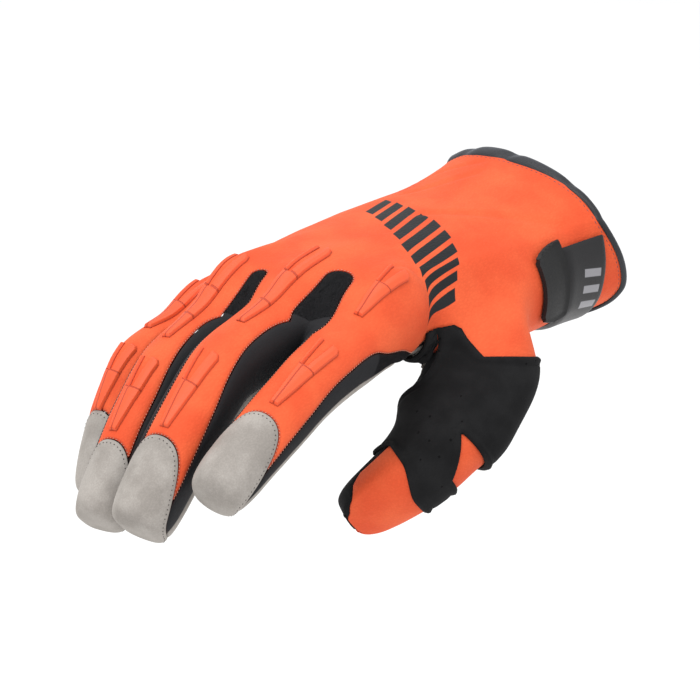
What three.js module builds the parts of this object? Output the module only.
import * as THREE from 'three';

// Motocross glove for the right hand, in its worn shape. Millimetres and degrees.
// The origin is the middle of the cuff opening. The fingers point to -X, the thumb to -Y, the back is +Z.

// Sizes of the hand that the glove is cut for
const PALM_LENGTH = 132;
const PALM_BREADTH = 84;
const PALM_DEPTH = 40;
const KNUCKLE_LINE = 94;
const KNUCKLE_ARCH = 18;
const FINGER_LENGTH = 104;
const FINGER_BREADTH = 24;
const FINGER_GAP = 1.4;
const KNUCKLE_BEND_REACH = 9;
const WEB_REACH = 21;
const THUMB_LENGTH = 108;
const THUMB_BREADTH = 29;
const THUMB_ROOT_ALONG = 44;
const THUMB_ROOT_ACROSS = 30;
const THUMB_ROOT_DROP = 8;
const CUFF_BREADTH = 84;
const CUFF_DEPTH = 60;
const CUFF_LOBE = 11;

// Cloth and trim
const CLOTH = 1;
const SUEDE = 1;
const PATCH = 1;
const BINDING = 1.9;
const BINDING_PROUD = 0.5;
const SEAM_GAP = 0.5;
const HEM_WIDTH = 3.4;
const HEM_GATHER = 4.6;
const STRAP_WIDTH = 21;
const STRAP_EDGE = 3.4;
const STRAP_THICKNESS = 1.5;
const TAB_THICKNESS = 2;
const PAD_HEIGHT = 1.3;
const PAD_BREADTH = 8.5;
const SLIT_LENGTH = 20;
const SLIT_WIDTH = 6.4;
const TIP_WRAP = 32;
const TIP_SHOULDER = 7;
const TIP_SIDE = 7;

// Knuckle place as shares of PALM_LENGTH, KNUCKLE_LINE and KNUCKLE_ARCH; bones as shares of FINGER_LENGTH;
// girth as shares of half of FINGER_BREADTH at the knuckle, the two joints and the tip
const FINGERS = [
  { name: 'index', along: 0.879, across: -0.351, up: 0.23, roll: -13, spread: -16, bends: [5, 10, 4],
    bones: [0.431, 0.255, 0.255], girth: [1.2, 1.02, 0.98, 0.92], wrap: 1 },
  { name: 'middle', along: 1, across: -0.085, up: 0.28, roll: 2, spread: -12, bends: [3, 29, 8],
    bones: [0.457, 0.286, 0.257], girth: [1.2, 1.02, 0.98, 0.92], wrap: 0.97 },
  { name: 'ring', along: 1.052, across: 0.17, up: 0, roll: 13, spread: -9, bends: [11, 24, 7],
    bones: [0.411, 0.265, 0.247], girth: [1.17, 0.98, 0.94, 0.88], wrap: 0.82 },
  { name: 'little', along: 1.022, across: 0.383, up: -0.69, roll: 15, spread: 1, bends: [5, 39, 12],
    bones: [0.335, 0.199, 0.217], girth: [1.08, 0.91, 0.87, 0.82], wrap: 0.86 },
];
const THUMB = {
  bones: [0.429, 0.322, 0.262], heading: [37, 2, -33], dip: [23, 33, 34],
  at: [0.39, 0.47, 0.56, 0.66, 0.76, 0.87, 0.97, 1.05, 1.1],
  web: [2.15, 2.2, 1.9, 1.55, 1.28, 1.08, 0.95, 0.8, 0.5],
  outer: [1.12, 1.12, 1.08, 1.02, 1, 0.98, 0.92, 0.78, 0.5],
  height: [1.2, 1.1, 1.05, 1, 0.95, 0.92, 0.88, 0.76, 0.48],
};

// Sections of the palm: station as a share of PALM_LENGTH, half breadths as shares of half of PALM_BREADTH,
// heights as shares of half of PALM_DEPTH, roll in degrees. The first two follow the cuff's own sizes.
const SECTIONS = [
  { at: 0, index: 1.08, little: 1, back: 0.9, palm: 1.12, lift: 0, roll: 2, cuff: 1 },
  { at: 0.13, index: 1, little: 0.9, back: 0.9, palm: 1.18, lift: 0, roll: 2, cuff: 0.7 },
  { at: 0.25, index: 0.96, little: 0.86, back: 1.12, palm: 1.48, lift: 0, roll: 1, cuff: 0 },
  { at: 0.46, index: 1.0, little: 0.95, back: 1.1, palm: 1.25, lift: 0.02, roll: -3, cuff: 0 },
  { at: 0.7, index: 1, little: 1.05, back: 1.12, palm: 0.86, lift: 0.01, roll: -8, cuff: 0 },
];
const BACK_SQUARENESS = 2.2;
const PALM_SQUARENESS = 2.8;
const PALM_ROWS = [0, 0.035, 0.09, 0.17, 0.28, 0.4, 0.54, 0.69];
const HOLE_ROW = 5;
const HOLE_ROWS = 2;
const HOLE_COLUMNS = 4;

// Rows over the knuckles: reach past the knuckle as a share of WEB_REACH, and the angles of the valley and
// of the shoulders beside each finger's middle line
const KNUCKLE_ROWS = [
  { at: -0.62, valley: 24, shoulder: 14, swell: 1.32, palmar: 1.12 },
  { at: -0.14, valley: 30, shoulder: 17, swell: 1.32, palmar: 1.14 },
  { at: 0.34, valley: 42, shoulder: 23, swell: 1.2, palmar: 1.12 },
];
const WEB_ROW = { back: 0.76, side: 1, palm: 1.12, valley: 58, shoulder: 30 };
// Rows of a finger: share of the way from the web to the first joint, then bone by bone
const FINGER_ROWS = [
  { bone: 0, at: 0.7 }, { bone: 0, at: 0.95 }, { bone: 1, at: 0.24 },
  { bone: 1, at: 0.52 }, { bone: 1, at: 0.8 }, { bone: 2, at: 0.1 }, { bone: 2, at: 0.55 },
  { bone: 2, at: 1.02 }, { bone: 2, at: 1.3 },
];
const TIP_TAPER = [1, 0.95, 0.66];

const COLUMNS_PER_FINGER = 4;
const DORSAL = FINGERS.length * COLUMNS_PER_FINGER + 1;
const LOOP = 2 * DORSAL + 2;
const SIDE_ANGLE = 90;
const SHOULDER_ANGLE = 62;
const PALM_SHOULDER_ANGLE = 68;
const RING = 12;
const RING_STEP = 360 / RING;

const rad = THREE.MathUtils.degToRad;
const lerp = THREE.MathUtils.lerp;
const vec = (x, y, z) => new THREE.Vector3(x, y, z);
const clamp = THREE.MathUtils.clamp;
const smooth = (t) => THREE.MathUtils.smoothstep(t, 0, 1);

// Value of a table column at a station, by straight interpolation
function fromTable(stations, values, at) {
  let i = 0;
  while (i < stations.length - 2 && at > stations[i + 1]) {
    i += 1;
  }
  const share = clamp((at - stations[i]) / (stations[i + 1] - stations[i]), 0, 1);
  return lerp(values[i], values[i + 1], share);
}

// Centre line of a finger: straight bones with eased bends, a frame of along, up and side at each step
function centreLine(start, directions, ups, lengths, radius) {
  const step = 0.5;
  const ends = lengths.map((_, i) => lengths.slice(0, i + 1).reduce((a, b) => a + b, 0));
  const total = ends[ends.length - 1] * 1.3;
  const samples = [];
  const point = start.clone();
  for (let s = 0; s <= total; s += step) {
    const along = directions[0].clone();
    const up = ups[0].clone();
    for (let i = 1; i < directions.length; i += 1) {
      const share = smooth((s - ends[i - 1] + KNUCKLE_BEND_REACH) / (2 * KNUCKLE_BEND_REACH));
      along.addScaledVector(directions[i].clone().sub(directions[i - 1]), share);
      up.addScaledVector(ups[i].clone().sub(ups[i - 1]), share);
    }
    along.normalize();
    up.addScaledVector(along, -up.dot(along)).normalize();
    const side = along.clone().cross(up);
    samples.push({ point: point.clone(), along, up, side });
    point.addScaledVector(along, step);
  }
  const stations = [0, ...ends];
  return {
    ends,
    total: ends[ends.length - 1],
    radiusAt: (s) => radius(stations, s),
    frameAt(s) {
      if (s < 0) {
        const first = samples[0];
        return { ...first, point: first.point.clone().addScaledVector(first.along, s) };
      }
      const at = Math.min(s / step, samples.length - 1.001);
      const a = samples[Math.floor(at)];
      const b = samples[Math.floor(at) + 1];
      const mix = (key) => a[key].clone().lerp(b[key], at - Math.floor(at));
      return { point: mix('point'), along: mix('along'), up: mix('up'), side: mix('side') };
    },
  };
}

function fingerLine(finger) {
  const start = vec(-finger.along * PALM_LENGTH, finger.across * KNUCKLE_LINE, finger.up * KNUCKLE_ARCH);
  const spread = rad(finger.spread);
  const roll = rad(finger.roll);
  const directions = [];
  const ups = [];
  let bend = 0;
  for (const extra of finger.bends) {
    bend += rad(extra);
    const along = vec(-Math.cos(spread) * Math.cos(bend), Math.sin(spread) * Math.cos(bend), -Math.sin(bend));
    const up = vec(-Math.cos(spread) * Math.sin(bend), Math.sin(spread) * Math.sin(bend), Math.cos(bend));
    for (const v of [along, up]) {
      v.applyAxisAngle(vec(1, 0, 0), -roll);
    }
    directions.push(along);
    ups.push(up);
  }
  const lengths = finger.bones.map((share) => share * FINGER_LENGTH);
  const girth = finger.girth.map((share) => share * FINGER_BREADTH / 2);
  return centreLine(start, directions, ups, lengths, (stations, s) => fromTable(stations, girth, s));
}

function thumbLine() {
  const start = vec(-THUMB_ROOT_ALONG, -THUMB_ROOT_ACROSS, -THUMB_ROOT_DROP);
  const directions = THUMB.heading.map((heading, i) => {
    const flat = Math.cos(rad(THUMB.dip[i]));
    return vec(-Math.cos(rad(heading)) * flat, -Math.sin(rad(heading)) * flat, -Math.sin(rad(THUMB.dip[i])));
  });
  const ups = directions.map((along) => {
    const up = vec(0.1, -0.25, 1);
    return up.addScaledVector(along, -up.dot(along)).normalize();
  });
  const lengths = THUMB.bones.map((share) => share * THUMB_LENGTH);
  return centreLine(start, directions, ups, lengths, () => THUMB_BREADTH / 2);
}

const lines = FINGERS.map(fingerLine);
const thumb = thumbLine();

// Half breadth of a finger on one side, held clear of its neighbour
function halfBreadth(index, s, sign) {
  const line = lines[index];
  const own = line.radiusAt(s);
  const other = lines[index + sign];
  if (!other) {
    return own;
  }
  const from = line.frameAt(s).point;
  let best = Infinity;
  let room = own;
  for (let t = 0; t <= other.total * 1.1; t += 2) {
    const distance = other.frameAt(t).point.distanceTo(from);
    if (distance < best) {
      best = distance;
      room = (distance - FINGER_GAP) * own / (own + other.radiusAt(t));
    }
  }
  return Math.min(own, room);
}

// Point on a finger's skin: angle 0 on the back, positive towards the little finger
function skinPoint(index, s, angle, swell = 1, palmar = 1, taper = 1) {
  const frame = lines[index].frameAt(s);
  const radius = lines[index].radiusAt(s);
  const turn = rad(angle);
  const sign = Math.sin(turn) < 0 ? -1 : 1;
  const breadth = halfBreadth(index, s, sign) * taper;
  const height = radius * taper * (Math.cos(turn) > 0 ? 0.96 * swell : 0.98 * palmar);
  return frame.point.clone()
    .addScaledVector(frame.side, breadth * Math.sin(turn))
    .addScaledVector(frame.up, height * Math.cos(turn));
}

// The cage: every vertex holds its point and the fields that the pieces are cut by
const points = [];
const fields = [];
const faces = [];
function addPoint(point, field) {
  points.push(point);
  fields.push(field);
  return points.length - 1;
}
function addFace(a, b, c, d, part, column) {
  faces.push({ corners: [a, d, c, b], part, column });
}

// Column angles of the palm's loop, from the index side over the back to the little side and round the palm
const spreadAngle = (j, reach) => lerp(-reach, reach, j / (DORSAL - 1));
function loopAngle(c) {
  if (c < DORSAL) {
    return spreadAngle(c, SHOULDER_ANGLE);
  }
  if (c === DORSAL) {
    return SIDE_ANGLE;
  }
  if (c < LOOP - 1) {
    return 180 - spreadAngle(LOOP - 2 - c, PALM_SHOULDER_ANGLE);
  }
  return -SIDE_ANGLE;
}

// The cuff's edge bulges in a rounded lobe on the palm, beside the thumb side
const LOBE_ANGLE = -114;
const LOBE_SPAN = 36;
function cuffEdge(angle) {
  const off = Math.abs(((angle - LOBE_ANGLE + 540) % 360) - 180) / LOBE_SPAN;
  return off < 1 ? CUFF_LOBE * Math.sqrt(1 - off * off) * smooth((1 - off) * 2) : 0;
}

function sectionPoint(share, angle) {
  const stations = SECTIONS.map((row) => row.at);
  const column = (key) => fromTable(stations, SECTIONS.map((row) => row[key]), share);
  const turn = rad(angle);
  const cuff = column('cuff');
  const breadth = lerp(PALM_BREADTH, CUFF_BREADTH, cuff) / 2;
  const depth = lerp(PALM_DEPTH, CUFF_DEPTH, cuff) / 2;
  const squareness = Math.cos(turn) > 0 ? BACK_SQUARENESS : PALM_SQUARENESS;
  const full = (Math.abs(Math.sin(turn)) ** squareness + Math.abs(Math.cos(turn)) ** squareness) ** (-1 / squareness);
  const across = Math.sin(turn) * full * breadth * column(Math.sin(turn) < 0 ? 'index' : 'little');
  const up = Math.cos(turn) * full * depth * column(Math.cos(turn) > 0 ? 'back' : 'palm');
  const roll = rad(column('roll'));
  const fade = smooth(1 - share / SECTIONS[1].at);
  const x = -share * PALM_LENGTH + cuffEdge(angle) * fade;
  return vec(
    x,
    across * Math.cos(roll) - up * Math.sin(roll),
    across * Math.sin(roll) + up * Math.cos(roll) + column('lift') * PALM_DEPTH,
  );
}

// Column j of a row over the knuckles
function knucklePoint(row, c) {
  const s = row.at * WEB_REACH;
  const palm = c > DORSAL && c < LOOP - 1;
  if (c === DORSAL) {
    return skinPoint(FINGERS.length - 1, s, SIDE_ANGLE);
  }
  if (c === LOOP - 1) {
    return skinPoint(0, s, -SIDE_ANGLE);
  }
  const j = palm ? LOOP - 2 - c : c;
  const finger = Math.min(Math.floor(j / COLUMNS_PER_FINGER), FINGERS.length - 1);
  const step = j - finger * COLUMNS_PER_FINGER - COLUMNS_PER_FINGER / 2;
  const side = (angle) => (palm ? 180 - angle : angle);
  const at = (index, angle) => skinPoint(index, s, side(angle), row.swell, row.palmar);
  if (j === 0 || j === DORSAL - 1) {
    return at(finger, Math.sign(step) * 60);
  }
  if (Math.abs(step) === 2) {
    return at(finger, step / 2 * row.valley).lerp(at(finger + step / 2, -step / 2 * row.valley), 0.5);
  }
  return at(finger, step * row.shoulder);
}

function webPoint(c) {
  const palm = c > DORSAL && c < LOOP - 1;
  const reach = (share) => share * WEB_REACH;
  if (c === DORSAL) {
    return skinPoint(FINGERS.length - 1, reach(WEB_ROW.side), SIDE_ANGLE);
  }
  if (c === LOOP - 1) {
    return skinPoint(0, reach(WEB_ROW.side), -SIDE_ANGLE);
  }
  const j = palm ? LOOP - 2 - c : c;
  const finger = Math.min(Math.floor(j / COLUMNS_PER_FINGER), FINGERS.length - 1);
  const step = j - finger * COLUMNS_PER_FINGER - COLUMNS_PER_FINGER / 2;
  const side = (angle) => (palm ? 180 - angle : angle);
  const s = reach(palm ? WEB_ROW.palm : WEB_ROW.back);
  if (j === 0 || j === DORSAL - 1) {
    return skinPoint(finger, s, side(Math.sign(step) * 60));
  }
  if (Math.abs(step) === 2) {
    const turn = step / 2 * WEB_ROW.valley;
    return skinPoint(finger, s, side(turn)).lerp(skinPoint(finger + step / 2, s, side(-turn)), 0.5);
  }
  return skinPoint(finger, s, side(step * WEB_ROW.shoulder));
}

const signedAngle = (angle) => ((angle + 540) % 360) - 180;

// Seams across the palm: the angle where the back ends and where the palm begins, on each side
const SEAMS = {
  at: [0, 0.3, 0.42, 0.66, 0.8, 1.1],
  indexBack: [138, 138, 128, 72, 68, 68], indexPalm: [138, 138, 130, 97, 98, 100],
  littleBack: [96, 92, 86, 74, 68, 66], littlePalm: [96, 92, 90, 98, 102, 104],
};
const FINGER_SEAM = { at: [0, 0.35, 1], inner: [50, 56, 62], outer: 67, palmInner: 118, palmOuter: 100 };
const LOBE_REACH = 34;
const THUMB_SEAM_CENTRE = 65;
const THUMB_SEAM_HALF = 80;
const FAR = 30;
const ARC = PALM_BREADTH / 2 * rad(0.8);

function palmFields(x, angle) {
  const share = -x / PALM_LENGTH;
  const turn = signedAngle(angle);
  const side = turn < 0 ? 'index' : 'little';
  const backEnd = fromTable(SEAMS.at, SEAMS[side + 'Back'], share);
  const palmStart = fromTable(SEAMS.at, SEAMS[side + 'Palm'], share);
  return {
    back: (backEnd - Math.abs(turn)) * ARC,
    palm: (Math.abs(turn) - palmStart) * ARC,
    tip: -FAR,
    thumb: -FAR,
    thumbBack: -FAR,
    lobe: x + LOBE_REACH,
    hem: -FAR,
    saddle: -FAR,
    angle: turn,
    x,
  };
}

function tipStart(index, end, angle) {
  const off = Math.abs(angle);
  const tongue = end - TIP_WRAP * FINGERS[index].wrap;
  const shoulder = tongue + TIP_SHOULDER;
  if (off <= 60) {
    return lerp(tongue, shoulder, (off / 60) ** 3);
  }
  return off < SIDE_ANGLE ? lerp(shoulder, end - TIP_SIDE, (off - 60) / 30) : end - TIP_SIDE;
}

function fingerFields(index, s, angle, end) {
  const turn = signedAngle(angle);
  const line = lines[index];
  const perDegree = rad(1) * line.radiusAt(s);
  const outer = turn < 0 ? index === 0 : index === FINGERS.length - 1;
  const seam = outer ? FINGER_SEAM.outer : fromTable(FINGER_SEAM.at, FINGER_SEAM.inner, s / line.total);
  const palmStart = outer ? FINGER_SEAM.palmOuter : FINGER_SEAM.palmInner;
  return {
    back: (seam - Math.abs(turn)) * perDegree,
    palm: (Math.abs(turn) - palmStart) * perDegree,
    tip: s - tipStart(index, end, turn),
    thumb: -FAR,
    thumbBack: -FAR,
    lobe: -FAR,
    hem: -FAR,
    saddle: -FAR,
    angle: turn,
    x: -FAR,
  };
}

// Rows of the palm, from the cuff to the web
const palmGrid = [];
for (const share of PALM_ROWS) {
  const row = [];
  for (let c = 0; c < LOOP; c += 1) {
    const angle = loopAngle(c);
    const point = sectionPoint(share, angle);
    const field = palmFields(point.x, angle);
    const turn = field.angle;
    const gather = smooth(1 - Math.abs(turn - 25) / 75);
    const hem = HEM_WIDTH + HEM_GATHER * gather;
    const fade = smooth(1 - share / SECTIONS[1].at);
    field.hem = hem + point.x - cuffEdge(angle) * Math.max(fade, 0.001) - cuffEdge(angle) * (1 - fade);
    row.push(addPoint(point, field));
  }
  palmGrid.push(row);
}
const knuckleRows = KNUCKLE_ROWS.map((entry) => {
  const row = [];
  for (let c = 0; c < LOOP; c += 1) {
    const point = knucklePoint(entry, c);
    row.push(addPoint(point, palmFields(point.x, loopAngle(c))));
  }
  return row;
});

// One more row bridges the palm to the knuckles
function bridgeRow(a, b, c, d) {
  const near = 9 / 16;
  const far = -1 / 16;
  return a.map((_, i) => {
    const point = points[b[i]].clone().multiplyScalar(near)
      .addScaledVector(points[c[i]], near)
      .addScaledVector(points[a[i]], far)
      .addScaledVector(points[d[i]], far);
    return addPoint(point, palmFields(point.x, loopAngle(i)));
  });
}
const last = palmGrid.length - 1;
palmGrid.push(bridgeRow(palmGrid[last - 1], palmGrid[last], knuckleRows[0], knuckleRows[1]));
palmGrid.push(...knuckleRows);

const fingerEnds = FINGERS.map((finger, i) => {
  const lastBone = finger.bones[finger.bones.length - 1] * FINGER_LENGTH;
  return lines[i].total + lastBone * (FINGER_ROWS[FINGER_ROWS.length - 1].at - 1);
});
const webRow = [];
for (let c = 0; c < LOOP; c += 1) {
  const point = webPoint(c);
  const palm = c > DORSAL && c < LOOP - 1;
  let field;
  if (c === DORSAL || c === LOOP - 1) {
    const index = c === DORSAL ? FINGERS.length - 1 : 0;
    field = fingerFields(index, WEB_REACH * WEB_ROW.side, c === DORSAL ? 90 : -90, fingerEnds[index]);
  } else {
    const j = palm ? LOOP - 2 - c : c;
    const finger = Math.min(Math.floor(j / COLUMNS_PER_FINGER), FINGERS.length - 1);
    const step = j - finger * COLUMNS_PER_FINGER - COLUMNS_PER_FINGER / 2;
    const turn = Math.abs(step) === 2 ? Math.sign(step) * (palm ? 72 : 62) : step * WEB_ROW.shoulder;
    const s = WEB_REACH * (palm ? WEB_ROW.palm : WEB_ROW.back);
    field = fingerFields(finger, s, palm ? 180 - turn : turn, fingerEnds[finger]);
  }
  webRow.push(addPoint(point, field));
}
palmGrid.push(webRow);

// The thumb's hole takes columns from the index side round towards the palm
const holeColumns = Array.from({ length: HOLE_COLUMNS + 1 }, (_, i) => LOOP - 1 - i);
const inHole = (row, column) => row >= HOLE_ROW && row < HOLE_ROW + HOLE_ROWS
  && holeColumns.slice(1).includes(column);
for (let r = 0; r < palmGrid.length - 1; r += 1) {
  for (let c = 0; c < LOOP; c += 1) {
    const d = (c + 1) % LOOP;
    if (!inHole(r, c)) {
      addFace(palmGrid[r][c], palmGrid[r + 1][c], palmGrid[r + 1][d], palmGrid[r][d], 'palm', c);
    }
  }
}

// Slits: the black gussets reach onto the back along the valleys between the knuckles
const slits = [];
for (let gap = 1; gap < FINGERS.length; gap += 1) {
  const column = gap * COLUMNS_PER_FINGER;
  const route = [palmGrid.length - 1, palmGrid.length - 2, palmGrid.length - 3, palmGrid.length - 4]
    .map((row) => points[palmGrid[row][column]]);
  const path = [route[0].clone()];
  let left = SLIT_LENGTH;
  for (let i = 1; i < route.length && left > 0; i += 1) {
    const piece = route[i].distanceTo(route[i - 1]);
    path.push(route[i - 1].clone().lerp(route[i], Math.min(1, left / piece)));
    left -= piece;
  }
  slits.push(path);
}
function slitDistance(point) {
  let best = Infinity;
  for (const path of slits) {
    for (let i = 1; i < path.length; i += 1) {
      const near = new THREE.Line3(path[i - 1], path[i]).closestPointToPoint(point, true, vec(0, 0, 0));
      best = Math.min(best, near.distanceTo(point));
    }
  }
  return best;
}
for (const row of palmGrid.slice(-5)) {
  for (let c = 0; c < DORSAL; c += 1) {
    const field = fields[row[c]];
    field.back = Math.min(field.back, slitDistance(points[row[c]]) - SLIT_WIDTH / 2);
  }
}

// Fingers: rings of twelve, closed at the tip by a ladder of faces
const RING_ANGLES = [-60, -30, 0, 30, 60, 90, 120, 150, 180, 210, 240, 270];
const webSides = [webRow[LOOP - 1]];
for (let gap = 1; gap < FINGERS.length; gap += 1) {
  const a = skinPoint(gap - 1, WEB_REACH * WEB_ROW.side, SIDE_ANGLE);
  const b = skinPoint(gap, WEB_REACH * WEB_ROW.side, -SIDE_ANGLE);
  const field = fingerFields(gap, WEB_REACH * WEB_ROW.side, -SIDE_ANGLE, fingerEnds[gap]);
  webSides.push(addPoint(a.lerp(b, 0.5), field));
}
webSides.push(webRow[DORSAL]);
const fingerRings = FINGERS.map((finger, index) => {
  const line = lines[index];
  const first = index * COLUMNS_PER_FINGER;
  const ring0 = [];
  for (let k = 0; k <= COLUMNS_PER_FINGER; k += 1) {
    ring0.push(webRow[first + k]);
  }
  ring0.push(webSides[index + 1]);
  for (let k = COLUMNS_PER_FINGER; k >= 0; k -= 1) {
    ring0.push(webRow[LOOP - 2 - (first + k)]);
  }
  ring0.push(webSides[index]);
  const rings = [ring0];
  FINGER_ROWS.forEach((entry, r) => {
    const before = entry.bone === 0 ? 0 : line.ends[entry.bone - 1];
    const s = before + entry.at * (line.ends[entry.bone] - before);
    const taper = TIP_TAPER[Math.max(0, r - FINGER_ROWS.length + TIP_TAPER.length)];
    const ring = [];
    for (let k = 0; k < RING; k += 1) {
      const angle = RING_ANGLES[k];
      const point = skinPoint(index, s, angle, 1, 1, taper);
      ring.push(addPoint(point, fingerFields(index, s, angle, fingerEnds[index])));
    }
    rings.push(ring);
  });
  return rings;
});
function addRings(rings, part) {
  for (let r = 0; r < rings.length - 1; r += 1) {
    for (let k = 0; k < RING; k += 1) {
      const next = (k + 1) % RING;
      addFace(rings[r][k], rings[r + 1][k], rings[r + 1][next], rings[r][next], part, k);
    }
  }
}
// Closes a ring whose first five points face the seven on the other side
function addCap(ring, part, field, push) {
  const inner = [1, 2, 3].map((k) => {
    const a = points[ring[k]];
    const b = points[ring[10 - k]];
    return addPoint(a.clone().lerp(b, 0.5).add(push), field);
  });
  const middle = [ring[11], ...inner, ring[5]];
  const top = ring.slice(0, 5);
  const bottom = [10, 9, 8, 7, 6].map((k) => ring[k]);
  for (let k = 0; k < 4; k += 1) {
    addFace(top[k], middle[k], middle[k + 1], top[k + 1], part, RING);
    addFace(middle[k], bottom[k], bottom[k + 1], middle[k + 1], part, RING);
  }
}
fingerRings.forEach((rings, index) => {
  addRings(rings, index);
  const end = fingerEnds[index];
  const along = lines[index].frameAt(end).along;
  addCap(rings[rings.length - 1], index, fingerFields(index, end + 2, 180, end), along.clone());
});

// Thumb: its ring of twelve starts on the hole's edge, with angle 0 on top and 90 on the outer side
const holeEdge = [];
for (let r = HOLE_ROWS; r > 0; r -= 1) {
  holeEdge.push(palmGrid[HOLE_ROW + r][holeColumns[0]]);
}
for (let c = 0; c < HOLE_COLUMNS; c += 1) {
  holeEdge.push(palmGrid[HOLE_ROW][holeColumns[c]]);
}
for (let r = 0; r < HOLE_ROWS; r += 1) {
  holeEdge.push(palmGrid[HOLE_ROW + r][holeColumns[HOLE_COLUMNS]]);
}
for (let c = HOLE_COLUMNS; c > 0; c -= 1) {
  holeEdge.push(palmGrid[HOLE_ROW + HOLE_ROWS][holeColumns[c]]);
}
const THUMB_ROOT_SWELL = 13;
const SADDLE = {
  from: [0.95, 2.1, 1.9, 1.4, 1.2, 1.2, 1.3, 1.4, 1.4, 1.3, 0.9, 0.35],
  overlap: 0.4, level: 11, bandEnd: 0.87, bandSlant: 0.045, notchFrom: 0.63, notchTo: 0.64, notchGrow: 0.13,
  notchAngle: 50, notchSpan: 75,
};

function thumbFields(s, k, level, base) {
  const angle = (k - 1) * RING_STEP;
  const off = Math.abs(signedAngle(angle - THUMB_SEAM_CENTRE));
  const turn = signedAngle(angle);
  const width = THUMB_BREADTH / 2 * rad(1);
  const share = s / THUMB_LENGTH;
  const open = (turn - SADDLE.notchAngle) / SADDLE.notchSpan;
  const notchEnd = SADDLE.notchTo + SADDLE.notchGrow * open;
  const outside = open > 0 ? Math.max(SADDLE.notchFrom - share, share - notchEnd) * THUMB_LENGTH : FAR;
  const band = (SADDLE.bandEnd + SADDLE.bandSlant * Math.cos(rad(turn - 100)) - share) * THUMB_LENGTH;
  return {
    ...base,
    thumb: (level - SADDLE.from[k] - SADDLE.overlap) * SADDLE.level,
    thumbBack: (THUMB_SEAM_HALF - off) * width,
    saddle: Math.min((level - SADDLE.from[k]) * SADDLE.level, outside, band),
  };
}

const thumbRings = [holeEdge];
const thumbOnly = { back: -FAR, palm: -FAR, tip: -FAR, lobe: -FAR, hem: -FAR, angle: -SIDE_ANGLE };
const thumbRows = THUMB.at.map((share, r) => {
  const s = share * THUMB_LENGTH;
  const frame = thumb.frameAt(s);
  const half = THUMB_BREADTH / 2;
  const row = [];
  for (let k = 0; k < RING; k += 1) {
    const turn = rad((k - 1) * RING_STEP);
    const reach = Math.sin(turn) > 0 ? THUMB.outer[r] : THUMB.web[r];
    const point = frame.point.clone()
      .addScaledVector(frame.side, -half * reach * Math.sin(turn))
      .addScaledVector(frame.up, half * THUMB.height[r] * Math.cos(turn));
    row.push(point);
  }
  return { s, row };
});
const rootRow = [];
const rootMiddle = vec(0, 0, 0);
thumbRows[0].row.forEach((point, k) => {
  rootRow.push(point.clone().lerp(points[holeEdge[k]], 0.5));
  rootMiddle.addScaledVector(rootRow[k], 1 / RING);
});
thumbRings.push(rootRow.map((point, k) => {
  const out = point.clone().sub(rootMiddle).normalize();
  const turn = rad((k - 1) * RING_STEP - SIDE_ANGLE);
  const swell = THUMB_ROOT_SWELL * Math.max(0, Math.cos(turn));
  const base = fields[holeEdge[k]];
  return addPoint(point.clone().addScaledVector(out, swell), thumbFields(0, k, 1, base));
}));
holeEdge.forEach((id, k) => {
  Object.assign(fields[id], thumbFields(0, k, 0, fields[id]));
});
thumbRows.forEach(({ s, row }, r) => {
  thumbRings.push(row.map((point, k) => {
    const base = r < 2 ? { ...thumbOnly, back: fields[holeEdge[k]].back, palm: fields[holeEdge[k]].palm }
      : thumbOnly;
    return addPoint(point, thumbFields(s, k, r + 2, base));
  }));
});
for (let r = 0; r < thumbRings.length - 1; r += 1) {
  for (let k = 0; k < RING; k += 1) {
    const next = (k + 1) % RING;
    addFace(thumbRings[r][k], thumbRings[r][next], thumbRings[r + 1][next], thumbRings[r + 1][k], 'thumb', k);
  }
}
// The thumb's root is eased into the palm
const ROOT_RINGS = 3;
const ROOT_EASE = 0.45;
for (let pass = 0; pass < 4; pass += 1) {
  const moved = [];
  for (let r = 1; r <= ROOT_RINGS; r += 1) {
    for (let k = 0; k < RING; k += 1) {
      const around = [thumbRings[r - 1][k], thumbRings[r + 1][k],
        thumbRings[r][(k + 1) % RING], thumbRings[r][(k + RING - 1) % RING]];
      const middle = vec(0, 0, 0);
      around.forEach((id) => middle.addScaledVector(points[id], 1 / around.length));
      const id = thumbRings[r][k];
      moved.push([id, points[id].clone().lerp(middle, ROOT_EASE)]);
    }
  }
  for (const [id, point] of moved) {
    points[id].copy(point);
  }
}
// The thumb's cap: its top five ring points face the bottom seven, as on a finger
const thumbEnd = THUMB.at[THUMB.at.length - 1] * THUMB_LENGTH;
const lastRing = thumbRings[thumbRings.length - 1];
const capRing = lastRing.map((_, k) => lastRing[(RING - k + 3) % RING]);
addCap(capRing, 'thumb', thumbFields(thumbEnd, 1, FAR, thumbOnly), thumb.frameAt(thumbEnd).along.clone());

// Outward direction at every vertex
const normals = points.map(() => vec(0, 0, 0));
for (const { corners } of faces) {
  const [a, b, c, d] = corners.map((id) => points[id]);
  const normal = c.clone().sub(a).cross(d.clone().sub(b));
  for (const id of corners) {
    normals[id].add(normal);
  }
}
for (const normal of normals) {
  normal.normalize();
}

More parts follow.
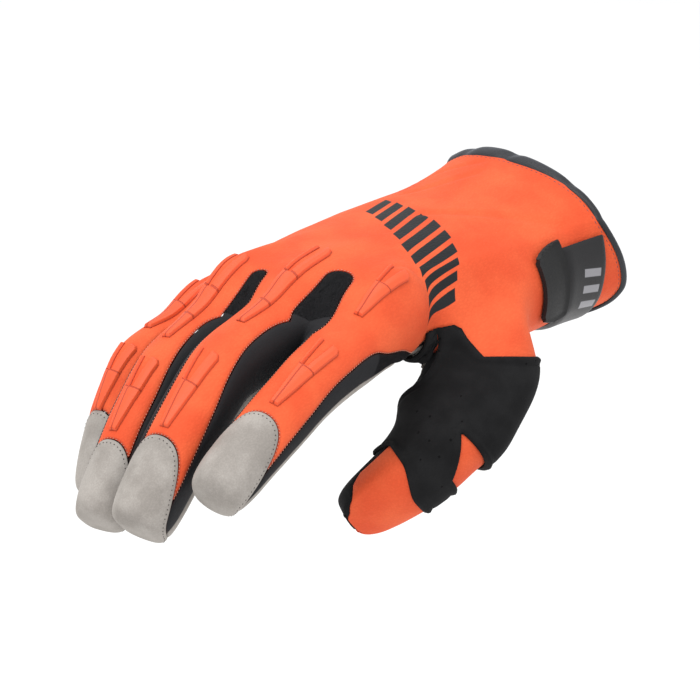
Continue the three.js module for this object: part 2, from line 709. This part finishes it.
// Cuts the faces where a field is above half of the seam's gap; what is kept is one piece of skin.
// A split above 1 cuts each triangle finer first, for small shapes.
function cutSkin(wanted, fieldOf, split = 1) {
  const level = SEAM_GAP / 2;
  const skin = { points: [], normals: [], triangles: [] };
  const known = new Map();
  const put = (key, make) => {
    if (!known.has(key)) {
      const [point, normal] = make();
      known.set(key, skin.points.length);
      skin.points.push(point);
      skin.normals.push(normal);
    }
    return known.get(key);
  };
  const crossing = (a, b) => {
    const [p, q] = a.key < b.key ? [a, b] : [b, a];
    return put(p.key + '_' + q.key, () => {
      const lowest = Math.min(0.4, 0.06 / p.point.distanceTo(q.point));
      const t = clamp(p.value / (p.value - q.value), lowest, 1 - lowest);
      return [p.point.clone().lerp(q.point, t), p.normal.clone().lerp(q.normal, t).normalize()];
    });
  };
  const blend = (ids, shares, list) => {
    const sum = vec(0, 0, 0);
    ids.forEach((id, i) => sum.addScaledVector(list[id], shares[i]));
    return sum;
  };
  const mixOf = (ids, shares) => {
    const point = blend(ids, shares, points);
    const whole = shares.indexOf(1);
    const field = whole >= 0 ? fields[ids[whole]] : null;
    const key = whole >= 0 ? 'v' + ids[whole] : [point.x, point.y, point.z].map((v) => v.toFixed(3)).join();
    return {
      key, point, normal: blend(ids, shares, normals).normalize(), value: fieldOf(field, point) - level,
    };
  };
  const clip = (half) => {
    const kept = [];
    for (let i = 0; i < 3; i += 1) {
      const from = half[i];
      const to = half[(i + 1) % 3];
      if (from.value > 0) {
        kept.push(put(from.key, () => [from.point, from.normal]));
      }
      if ((from.value > 0) !== (to.value > 0)) {
        kept.push(crossing(from, to));
      }
    }
    for (let i = 2; i < kept.length; i += 1) {
      skin.triangles.push([kept[0], kept[i - 1], kept[i]]);
    }
  };
  for (const face of faces) {
    if (!wanted(face)) {
      continue;
    }
    const [a, b, c, d] = face.corners;
    const shortAcross = points[a].distanceTo(points[c]) <= points[b].distanceTo(points[d]);
    for (const ids of shortAcross ? [[a, b, c], [a, c, d]] : [[a, b, d], [b, c, d]]) {
      const at = (i, j) => mixOf(ids, [(split - i - j) / split, i / split, j / split]);
      for (let i = 0; i < split; i += 1) {
        for (let j = 0; j < split - i; j += 1) {
          clip([at(i, j), at(i + 1, j), at(i, j + 1)]);
          if (i + j < split - 1) {
            clip([at(i + 1, j), at(i + 1, j + 1), at(i, j + 1)]);
          }
        }
      }
    }
  }
  return largestPiece(skin);
}

function largestPiece(skin) {
  const parent = skin.points.map((_, i) => i);
  const root = (i) => {
    let at = i;
    while (parent[at] !== at) {
      at = parent[at];
    }
    return at;
  };
  for (const [a, b, c] of skin.triangles) {
    parent[root(b)] = root(a);
    parent[root(c)] = root(a);
  }
  const counts = new Map();
  for (const [a] of skin.triangles) {
    counts.set(root(a), (counts.get(root(a)) || 0) + 1);
  }
  const best = [...counts.entries()].sort((x, y) => y[1] - x[1])[0];
  return { ...skin, triangles: skin.triangles.filter(([a]) => root(a) === best[0]) };
}

// Gives a skin its thickness: outer and inner faces at two offsets, joined by walls along its open edges
function thicken(skin, outer, inner) {
  const used = new Map();
  const positions = [];
  const put = (i, offset) => {
    const key = i + '_' + offset;
    if (!used.has(key)) {
      used.set(key, positions.length / 3);
      const p = skin.points[i].clone().addScaledVector(skin.normals[i], offset);
      positions.push(p.x, p.y, p.z);
    }
    return used.get(key);
  };
  const index = [];
  const edges = new Map();
  for (const [a, b, c] of skin.triangles) {
    index.push(put(a, outer), put(b, outer), put(c, outer));
    index.push(put(a, inner), put(c, inner), put(b, inner));
    for (const [i, j] of [[a, b], [b, c], [c, a]]) {
      if (edges.has(j + '_' + i)) {
        edges.delete(j + '_' + i);
      } else {
        edges.set(i + '_' + j, [i, j]);
      }
    }
  }
  for (const [i, j] of edges.values()) {
    index.push(put(i, outer), put(i, inner), put(j, inner));
    index.push(put(i, outer), put(j, inner), put(j, outer));
  }
  const geometry = new THREE.BufferGeometry();
  geometry.setAttribute('position', new THREE.Float32BufferAttribute(positions, 3));
  geometry.setIndex(index);
  return geometry;
}

// Looks, from the photograph
const LOOKS = {
  orange: { color: 0xf9602f, roughness: 0.85, metalness: 0 },
  black: { color: 0x1b1b1e, roughness: 0.9, metalness: 0 },
  grey: { color: 0xb3aea4, roughness: 0.95, metalness: 0 },
  rubber: { color: 0xf0562a, roughness: 0.5, metalness: 0 },
  strap: { color: 0x2b2a30, roughness: 0.7, metalness: 0 },
};
const glove = new THREE.Group();
function addPiece(name, geometry, look) {
  const mesh = new THREE.Mesh(geometry, new THREE.MeshStandardMaterial(LOOKS[look]));
  mesh.name = name;
  glove.add(mesh);
}

const least = Math.min;
const cloth = (name, wanted, fieldOf, look, thickness) => {
  addPiece(name, thicken(cutSkin(wanted, fieldOf), 0, -thickness), look);
};
const onHand = () => true;
const onPalm = (face) => face.part === 'palm';
const onThumb = (face) => face.part === 'thumb';
const littleSide = (face, i) => face.part === i && face.column >= 3 && face.column <= 6;
const indexSide = (face, i) => face.part === i && (face.column === 0 || (face.column >= 9 && face.column < RING));
cloth('back_panel', onHand, (f) => least(f.back, -f.tip, -f.thumb, -f.hem), 'orange', CLOTH);
cloth('palm_panel', onHand, (f) => least(f.palm, -f.back, -f.tip, -f.thumb, -f.lobe, -f.hem), 'grey', SUEDE);
cloth('cuff_lobe', onPalm, (f) => least(f.palm, -f.back, f.lobe, -f.hem), 'orange', CLOTH);
const gusset = (f) => least(-f.palm, -f.back, -f.tip, -f.thumb, -f.hem);
const outerIndex = (face) => onPalm(face) || onThumb(face) || indexSide(face, 0);
cloth('side_index', outerIndex, (f) => least(gusset(f), -f.angle), 'black', CLOTH);
const lastFinger = FINGERS.length - 1;
const outerLittle = (face) => onPalm(face) || littleSide(face, lastFinger);
cloth('side_little', outerLittle, (f) => least(gusset(f), f.angle), 'black', CLOTH);
for (let gap = 1; gap < FINGERS.length; gap += 1) {
  const between = (face) => onPalm(face) || littleSide(face, gap - 1) || indexSide(face, gap);
  cloth(`fourchette_${FINGERS[gap - 1].name}_${FINGERS[gap].name}`, between, gusset, 'black', CLOTH);
}
FINGERS.forEach((finger, i) => {
  cloth('tip_' + finger.name, (face) => face.part === i, (f) => f.tip, 'grey', SUEDE);
});
cloth('thumb_back', onThumb, (f) => least(f.thumb, f.thumbBack), 'orange', CLOTH);
cloth('thumb_palm', onThumb, (f) => least(f.thumb, -f.thumbBack), 'black', SUEDE);

const overlay = (name, wanted, fieldOf, look, height, split, seat = SEAM_GAP) => {
  addPiece(name, thicken(cutSkin(wanted, fieldOf, split), seat + height, seat), look);
};
overlay('thumb_saddle', (face) => onPalm(face) || onThumb(face), (f) => f.saddle, 'black', PATCH, 1);
const hem = cutSkin(onPalm, (f) => f.hem);
addPiece('cuff_binding', thicken(hem, BINDING_PROUD, BINDING_PROUD - BINDING), 'black');

// Closure: the strap goes round the side of the wrist to the palm, with a half-oval tab at its inner edge
const turnOf = (point) => {
  const turn = THREE.MathUtils.radToDeg(Math.atan2(point.y, point.z));
  return turn > 90 ? turn - 360 : turn;
};
const CLOSURE = { from: -76, to: -186, tabTurn: -96, tabReach: 17, tabHalf: 23 };
const strapFar = -STRAP_EDGE - STRAP_WIDTH;
const nearCuff = (face) => onPalm(face) && (face.column >= 18 || face.column < 4);
const perTurn = CUFF_DEPTH / 2 * rad(1);
overlay('closure_strap', nearCuff, (_, p) => least(
  -STRAP_EDGE - p.x,
  p.x - strapFar,
  (CLOSURE.from - turnOf(p)) * perTurn,
  (turnOf(p) - CLOSURE.to) * perTurn,
), 'strap', STRAP_THICKNESS, 1);
overlay('strap_tab', nearCuff, (_, p) => least(
  strapFar - p.x,
  CLOSURE.tabReach * (1 - Math.hypot((strapFar - p.x) / CLOSURE.tabReach,
    (turnOf(p) - CLOSURE.tabTurn) / CLOSURE.tabHalf)),
), 'black', TAB_THICKNESS, 3);

// Raised rubber wedges: one over each knuckle and one on each finger, forked at the wrist end
const PADS = [
  { name: 'knuckle_pad_index', finger: 0, at: -0.03, length: 0.33 },
  { name: 'knuckle_pad_middle', finger: 1, at: 0.05, length: 0.54 },
  { name: 'knuckle_pad_ring', finger: 2, at: 0.11, length: 0.5 },
  { name: 'knuckle_pad_little', finger: 3, at: 0.11, length: 0.31 },
  { name: 'finger_pad_index', finger: 0, at: 0.47, length: 0.35 },
  { name: 'finger_pad_middle', finger: 1, at: 0.61, length: 0.33 },
  { name: 'finger_pad_ring', finger: 2, at: 0.57, length: 0.31 },
  { name: 'finger_pad_little', finger: 3, at: 0.43, length: 0.27 },
];
for (const pad of PADS) {
  const frame = lines[pad.finger].frameAt(pad.at * FINGER_LENGTH);
  const half = pad.length * FINGER_LENGTH / 2;
  const padField = (_, point) => {
    const off = point.clone().sub(frame.point);
    const along = off.dot(frame.along) / half;
    const across = Math.abs(off.dot(frame.side));
    const breadth = PAD_BREADTH / 2 * lerp(1, 0.42, (along + 1) / 2);
    const fork = across - (-0.35 - along) * PAD_BREADTH * 0.4;
    return off.dot(frame.up) < 0 ? -FAR : least(breadth - across, (1 - Math.abs(along)) * half, fork);
  };
  const near = (face) => (onPalm(face) && face.column < DORSAL) || face.part === pad.finger;
  overlay(pad.name, near, padField, 'rubber', PAD_HEIGHT, 2);
}

export default glove;
